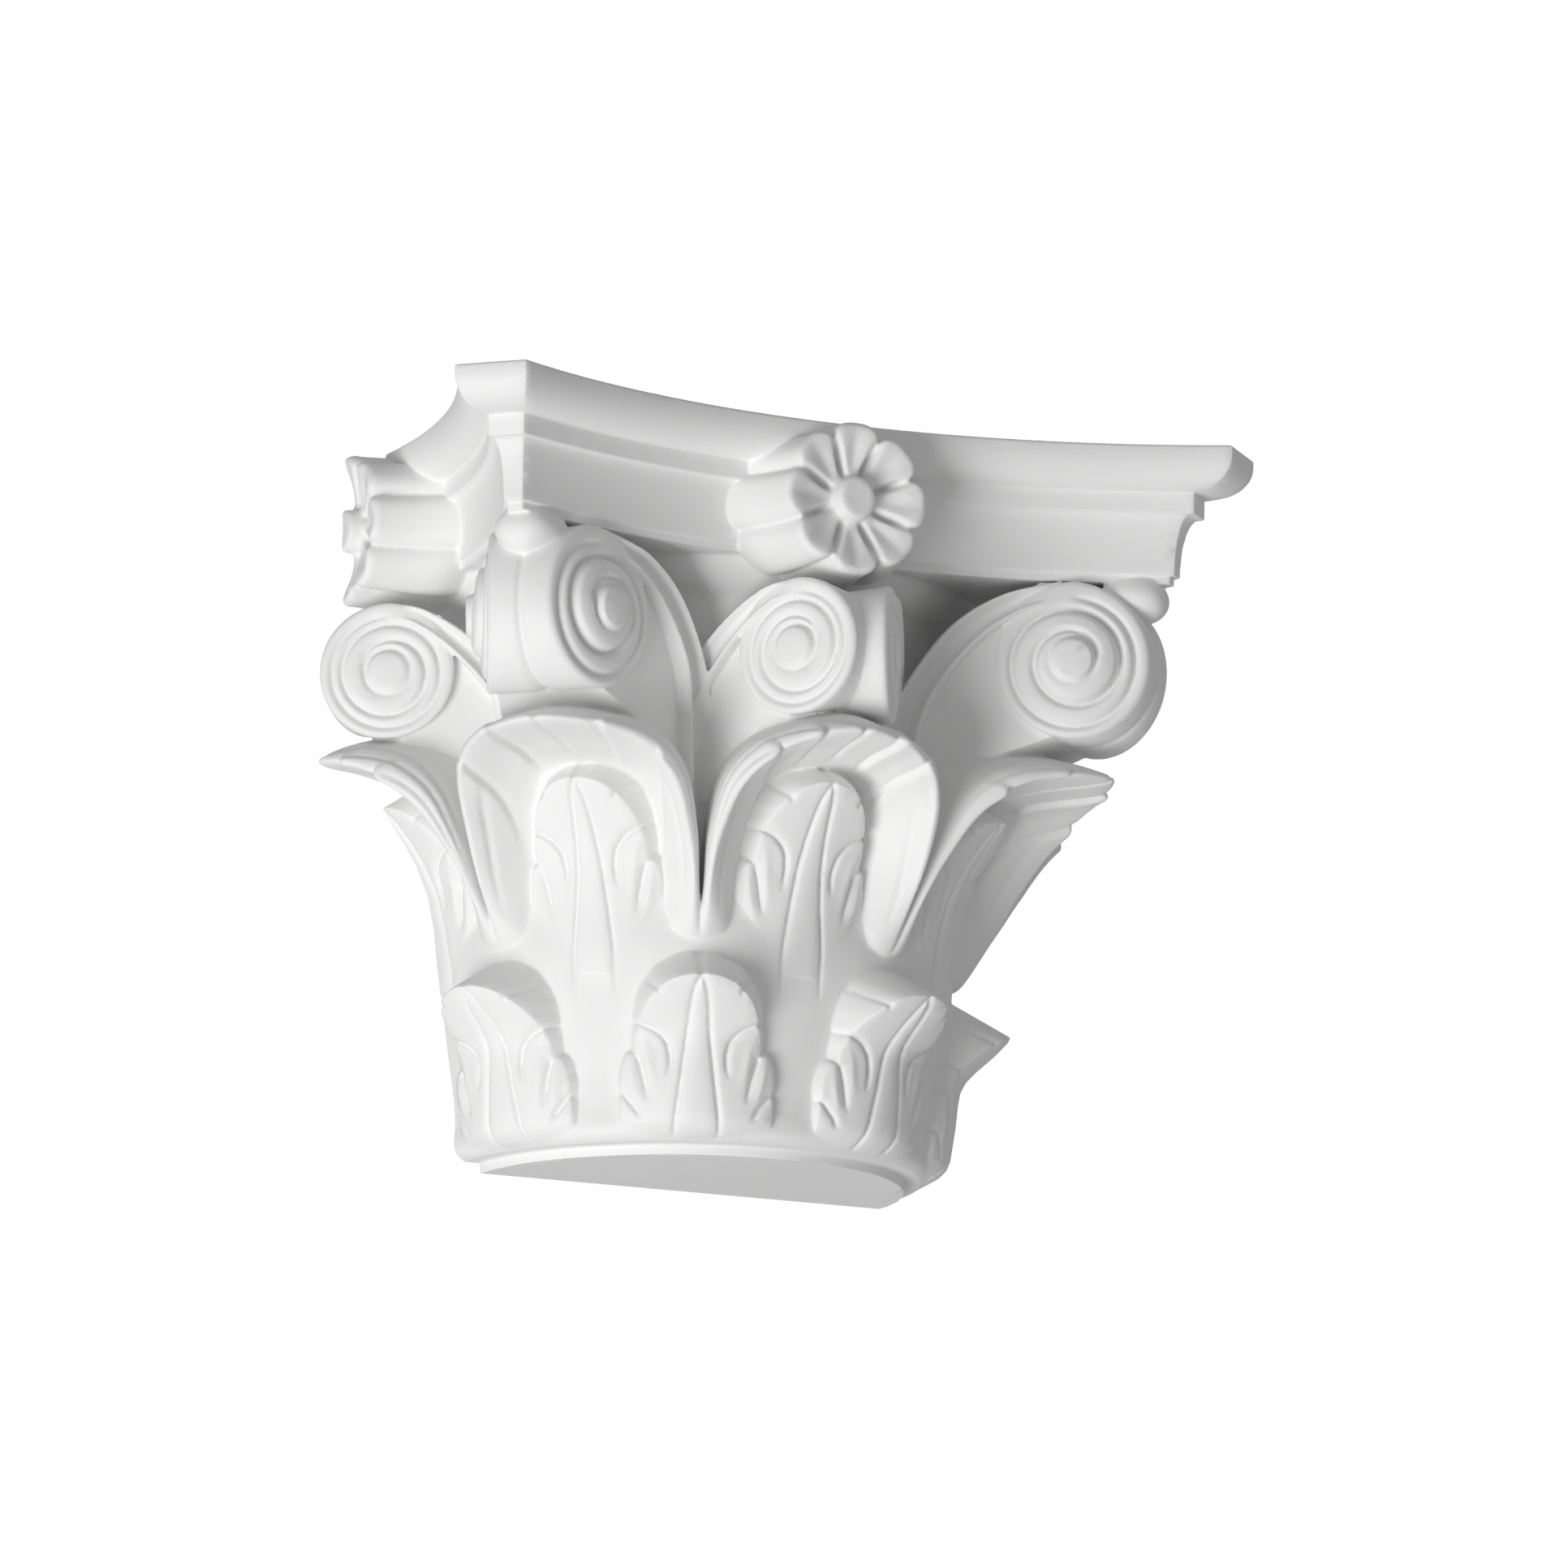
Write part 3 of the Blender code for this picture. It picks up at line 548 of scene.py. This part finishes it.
def stalk_body(face, edges, bead):
    """A ribbon between two edges, given along, up and out of the face from the eye: a section with a
    rounded bead at each edge, as two bell curves, and a slack channel between them, as a sine. It is
    carried from the bell up into the scroll, where it sinks away with the square of the last of its
    way."""
    both = curve_through(np.concatenate(edges, axis=1), 90)
    share = np.linspace(0, 1, 25)
    lift = bead * np.exp(-((share - 0.12) / 0.13) ** 2) + bead * np.exp(-((share - 0.87) / 0.13) ** 2)
    lift -= bead * np.sin(np.pi * share) ** 1.5
    lift -= 1.4 * np.exp(-(share / 0.04) ** 2) + 1.4 * np.exp(-((1 - share) / 0.04) ** 2)
    late = np.clip((np.linspace(0, 1, 90) - 0.84) / 0.16, 0, 1)[:, None]
    lift = lift[None] * (1 - late) - 2.4 * late**2
    outside, inside = both[:, None, :3], both[:, None, 3:]
    place = outside + share[None, :, None] * (inside - outside)
    top = on_face(face, place[..., 0], place[..., 1], place[..., 2] + lift)
    back = place[:, [-1, 0]]
    under = on_face(face, back[..., 0], back[..., 1], back[..., 2] - STALK_DEPTH)
    return np.concatenate([top, under], axis=1)


def web_body(face, plane, outline):
    """The plain wedge behind a scroll and its stalk, from one face through to the other, with seven
    places between one point of its outline and the next."""
    outline = np.asarray(outline, float)
    share = np.linspace(0, 1, 8)[:-1, None]
    line = outline[:, None] + share * (np.roll(outline, -1, axis=0) - outline)[:, None]
    near = on_face(face, *line.reshape(-1, 3).T)
    return np.stack([near, across_plane(near, plane)])


volute = face_frame((95.1, -132.2, 189.0), -25.0)
add_body(scroll_body(volute, EIGHTH, VOLUTE, volute_valley))
stalk = stalk_body(volute, VOLUTE_STALK, VOLUTE_BEAD)
add_body(stalk)
add_body(across_plane(stalk, EIGHTH))
add_body(web_body(volute, EIGHTH, VOLUTE_WEB))

helix = face_frame((-20.5, -133.5, 181.8), -58.0)
add_body(scroll_body(helix, 0.0, HELIX, helix_valley))
add_body(across_plane(stalk_body(helix, HELIX_STALK, HELIX_BEAD), 0.0))
add_body(web_body(helix, 0.0, HELIX_WEB))

# The flower and the bud.
# A flower sits on the abacus in the middle of each side: eight dished petals about a round heart,
# their backs fluted and spread wide where they meet the slab. A bud fills the corner between the
# volutes and the abacus.
PETALS = 8
FLOWER_HEIGHT = 238.4
SLOT_DEPTH = 2.1
SLOT_HALF_WIDTH = 1.35
PETAL_DISH = 0.5
FLOWER_RINGS = [
    (94.0, 31.0, 23.0, 1.6, 0.0), (104.0, 35.0, 26.0, 2.0, 0.0), (112.0, 36.6, 27.4, 2.2, 0.0),
    (118.0, 34.9, 27.6, 2.2, 0.0), (125.0, 31.2, 27.0, 2.2, 0.0), (132.0, 28.4, 26.5, 2.4, 0.0),
    (138.0, 26.9, 26.1, 2.5, 0.2), (141.6, 26.2, 25.8, 2.8, 0.6), (143.6, 24.6, 24.4, 2.6, 1.0),
    (143.2, 22.0, 22.0, 1.6, 1.8), (142.0, 18.5, 18.5, 0.8, 3.0), (141.0, 15.0, 15.0, 0.3, 3.4),
    (140.2, 11.5, 11.5, 0.1, 2.8), (139.6, 9.0, 9.0, 0.0, 0.8), (140.6, 8.0, 8.2, 0.0, 0.0),
    (142.9, 7.4, 7.9, 0.0, 0.0), (143.9, 6.0, 6.5, 0.0, 0.0), (143.8, 3.6, 4.0, 0.0, 0.0),
    (143.6, 0.6, 0.6, 0.0, 0.0),
]
BUD_BACK = 168.0
BUD_LEVELS = [(229.0, 6.0, 176.0), (226.5, 6.4, 181.0), (224.0, 7.8, 185.0), (220.5, 10.9, 188.0),
              (216.5, 12.7, 189.6), (212.5, 11.4, 189.2), (209.0, 7.4, 187.0), (206.8, 3.4, 183.0),
              (206.2, 1.0, 178.0)]


def flower_body():
    """Rings about the flower's axis from its root to its heart. A ring is an ellipse that swells at
    the petals and draws in between them; slots part the petals round the heart, and each petal is
    hollow along its middle."""
    angles = np.linspace(0, 2 * math.pi, 361)[:-1]
    petal = 1 - (1 - np.abs(np.cos(PETALS / 2 * angles))) ** 2.2 * 1.7
    off = np.abs((angles / (2 * math.pi) * PETALS + 0.5) % 1 - 0.5) * 2 * math.pi / PETALS
    gap = math.pi / PETALS - off
    made = []
    for reach, wide, tall, swell, slot in curve_through(FLOWER_RINGS, 130):
        sideways = (wide + swell * petal) * np.sin(angles)
        upward = (tall + swell * petal) * np.cos(angles)
        size = min(wide, tall)
        parted = slot * SLOT_DEPTH * np.exp(-(gap * size / SLOT_HALF_WIDTH) ** 2)
        hollow = slot * PETAL_DISH * np.exp(-(off * size / 3.0) ** 2)
        made.append(np.stack([sideways, parted + hollow - reach, FLOWER_HEIGHT + upward], -1))
    return made


def bud_body(azimuth):
    """Levels from the neck under the abacus's corner to the lowest point: each a flattened half
    round, its half width and its reach multiplied by powers of the sine and cosine."""
    arc = np.linspace(-math.pi / 2, math.pi / 2, 31)
    made = []
    for height, half_width, reach in curve_through(BUD_LEVELS, 40):
        across = half_width * np.sign(np.sin(arc)) * np.abs(np.sin(arc)) ** 0.8
        out = BUD_BACK + (reach - BUD_BACK) * np.cos(arc) ** 0.6
        made.append(np.stack([across, -out, np.full(arc.shape, height)], -1))
    return turned(np.asarray(made), azimuth)


add_body(flower_body())
add_body(bud_body(EIGHTH))

# The casting.
# All the carving belongs to one moulding. The forms of an eighth are joined into one skin with
# soft edges, mirrored at the diagonal and at the middle, and closed by the flat back.
PITCH = 0.5
EIGHTH_TRIANGLES = 49000
OVERLAP = 3.0
SNAP = 0.2
SHARP_EDGE = math.radians(50)


def finished(mesh, add_modifiers):
    """The mesh as the modifiers that a function adds leave it."""
    shape = bpy.data.objects.new("forms", mesh)
    bpy.context.scene.collection.objects.link(shape)
    add_modifiers(shape)
    made = bpy.data.meshes.new_from_object(shape.evaluated_get(bpy.context.evaluated_depsgraph_get()))
    bpy.data.objects.remove(shape)
    return made


def skinned(shape):
    """One skin over all the bodies, as quads of one pitch, softened."""
    skin = shape.modifiers.new("skin", "REMESH")
    skin.mode = "VOXEL"
    skin.voxel_size = PITCH
    soft = shape.modifiers.new("soft", "SMOOTH")
    soft.factor = 0.5
    soft.iterations = 2


def thinned(shape):
    """Edges collapsed until about so many triangles are left of the quads."""
    fewer = shape.modifiers.new("fewer", "DECIMATE")
    fewer.ratio = min(1.0, EIGHTH_TRIANGLES / (2 * len(shape.data.polygons)))


def cut(work, degrees_off, side):
    """Cuts off what lies past the upright plane at this angle off the front, to the side of
    greater angles for 1 and of smaller ones for -1."""
    angle = math.radians(degrees_off)
    normal = side * Vector((math.cos(angle), math.sin(angle), 0.0))
    everything = work.verts[:] + work.edges[:] + work.faces[:]
    bmesh.ops.bisect_plane(work, geom=everything, plane_co=(0, 0, 0), plane_no=normal, dist=1e-5,
                           clear_outer=True)


forms = bpy.data.meshes.new("forms")
forms.from_pydata(np.concatenate(POINTS).tolist(), [], FACES)
skin = finished(forms, skinned)
work = bmesh.new()
work.from_mesh(skin)
cut(work, -OVERLAP, -1)
cut(work, EIGHTH + OVERLAP, 1)
work.to_mesh(skin)
work.free()
work = bmesh.new()
work.from_mesh(finished(skin, thinned))
cut(work, 0.0, -1)
cut(work, EIGHTH, 1)
diagonal = Matrix(((0, -1, 0), (-1, 0, 0), (0, 0, 1))).to_4x4()
middle = Matrix(((-1, 0, 0), (0, 1, 0), (0, 0, 1))).to_4x4()
for mirror in (diagonal, middle):
    copied = bmesh.ops.duplicate(work, geom=work.verts[:] + work.edges[:] + work.faces[:])
    twins = [item for item in copied["geom"] if isinstance(item, bmesh.types.BMVert)]
    reversed_faces = [item for item in copied["geom"] if isinstance(item, bmesh.types.BMFace)]
    bmesh.ops.transform(work, matrix=mirror, verts=twins)
    bmesh.ops.reverse_faces(work, faces=reversed_faces)
    rim = [vert for vert in work.verts if vert.is_boundary]
    bmesh.ops.remove_doubles(work, verts=rim, dist=2e-4)
for vert in work.verts:
    if vert.is_boundary:
        vert.co.y = 0.0
    if vert.co.z < SNAP:
        vert.co.z = 0.0
    if vert.co.z > TOP - SNAP:
        vert.co.z = TOP
bmesh.ops.holes_fill(work, edges=[edge for edge in work.edges if edge.is_boundary], sides=0)
bmesh.ops.triangulate(work, faces=[face for face in work.faces if len(face.verts) > 4])
in_frame = Matrix.Translation((0, high.y, low.z)) @ Matrix.Scale(PART, 4)
bmesh.ops.transform(work, matrix=in_frame, verts=work.verts[:])
bmesh.ops.recalc_face_normals(work, faces=work.faces[:])
moulding = bpy.data.meshes.new("capital_moulding")
work.to_mesh(moulding)
work.free()
moulding.shade_smooth()
moulding.set_sharp_from_angle(angle=SHARP_EDGE)
capital = bpy.data.objects.new("capital_moulding", moulding)
bpy.context.scene.collection.objects.link(capital)


# The primer.
# Matt white factory primer on moulded foam, with the faintest unevenness of a sprayed coat.
class Socket:
    """A shader value that can be reckoned with by the plain signs."""

    def __init__(self, tree, link):
        self.tree = tree
        self.link = link

    def node(self, kind, inputs, out=0, **settings):
        """Makes a node, sets it and its inputs, and gives one of its outputs."""
        made = self.tree.nodes.new(kind)
        for name, value in settings.items():
            setattr(made, name, value)
        for name, value in inputs.items():
            if isinstance(value, Socket):
                self.tree.links.new(value.link, made.inputs[name])
            else:
                made.inputs[name].default_value = value
        return Socket(self.tree, made.outputs[out])

    def __add__(self, other):
        return self.node("ShaderNodeMath", {0: self, 1: other}, operation="ADD")

    def __mul__(self, other):
        return self.node("ShaderNodeMath", {0: self, 1: other}, operation="MULTIPLY")

    __radd__ = __add__
    __rmul__ = __mul__


primer = bpy.data.materials.new("primed_white")
primer.use_nodes = True
tree = primer.node_tree
coat = tree.nodes["Principled BSDF"]
place = Socket(tree, None).node("ShaderNodeTexCoord", {}, out="Object")
cloud = place.node("ShaderNodeTexNoise", {"Vector": place, "Scale": 18.0, "Detail": 2.0})
grain = place.node("ShaderNodeTexNoise", {"Vector": place, "Scale": 900.0, "Detail": 2.0})
shade = 0.02 * cloud + 0.855
colour = shade.node("ShaderNodeCombineColor", {"Red": shade, "Green": shade, "Blue": 0.995 * shade})
rough = 0.06 * cloud + 0.56
bump = grain.node("ShaderNodeBump", {"Height": grain, "Strength": 0.06, "Distance": 0.0003})
tree.links.new(colour.link, coat.inputs["Base Color"])
tree.links.new(rough.link, coat.inputs["Roughness"])
tree.links.new(bump.link, coat.inputs["Normal"])
moulding.materials.append(primer)

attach(capital, "root")
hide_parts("capital")

# The studio.
# A pale floor well below the capital, a white surround, one broad soft light at the front left and
# low, and the camera below the capital and to its left, as in the photo.
FLOOR_HEIGHT = -1.8
FLOOR_REACH = 40.0
AMBIENT = 0.34
LAMP_PLACE = (-1.85, -1.07, -0.96)
LAMP_SIZE = 1.3
LAMP_WATTS = 37.0
CAMERA_PLACE = (-1918.4, -3996.6, -734.5)
CAMERA_RIGHT = (0.897, -0.4419, 0.0094)
CAMERA_AHEAD = (0.4316, 0.8803, 0.197)
FOCAL_LENGTH = 274.8

floor_mesh = bpy.data.meshes.new("floor")
corners = [(-1, -1), (1, -1), (1, 1), (-1, 1)]
floor_mesh.from_pydata([(x * FLOOR_REACH, y * FLOOR_REACH, FLOOR_HEIGHT) for x, y in corners], [],
                       [(0, 1, 2, 3)])
floor = bpy.data.objects.new("floor", floor_mesh)
bpy.context.scene.collection.objects.link(floor)
pale = bpy.data.materials.new("pale_floor")
pale.use_nodes = True
pale.node_tree.nodes["Principled BSDF"].inputs["Base Color"].default_value = (0.9, 0.9, 0.9, 1.0)
pale.node_tree.nodes["Principled BSDF"].inputs["Roughness"].default_value = 0.9
floor_mesh.materials.append(pale)

world = bpy.data.worlds.new("studio")
bpy.context.scene.world = world
world.use_nodes = True
sky = world.node_tree
seen = Socket(sky, sky.nodes.new("ShaderNodeLightPath").outputs["Is Camera Ray"])
strength = (1.0 - AMBIENT) * seen + AMBIENT
sky.nodes["Background"].inputs["Color"].default_value = (1.0, 1.0, 1.0, 1.0)
sky.links.new(strength.link, sky.nodes["Background"].inputs["Strength"])
bpy.context.scene.view_settings.view_transform = "Standard"

lamp = bpy.data.lights.new("broad_soft_light", "AREA")
lamp.shape = "DISK"
lamp.size = LAMP_SIZE
lamp.energy = LAMP_WATTS
lamp_holder = bpy.data.objects.new("broad_soft_light", lamp)
bpy.context.scene.collection.objects.link(lamp_holder)
toward_bell = Vector((0.0, 0.0, 0.13)) - Vector(LAMP_PLACE)
facing = toward_bell.to_track_quat("-Z", "Y").to_matrix().to_4x4()
lamp_holder.matrix_world = Matrix.Translation(LAMP_PLACE) @ facing

camera_data = bpy.data.cameras.new("photo_view")
camera_data.lens = FOCAL_LENGTH
camera_data.sensor_width = 36.0
camera_data.clip_start = 0.5
camera_data.clip_end = 100.0
camera = bpy.data.objects.new("photo_view", camera_data)
bpy.context.scene.collection.objects.link(camera)
right = Vector(CAMERA_RIGHT).normalized()
upward = right.cross(Vector(CAMERA_AHEAD).normalized()).normalized()
ahead = upward.cross(right)
facing = Matrix((right, upward, -ahead)).transposed().to_4x4()
spot = Vector(CAMERA_PLACE) * PART + Vector((0, high.y, low.z))
camera.matrix_world = Matrix.Translation(spot) @ facing
bpy.context.scene.camera = camera

bpy.context.view_layer.update()
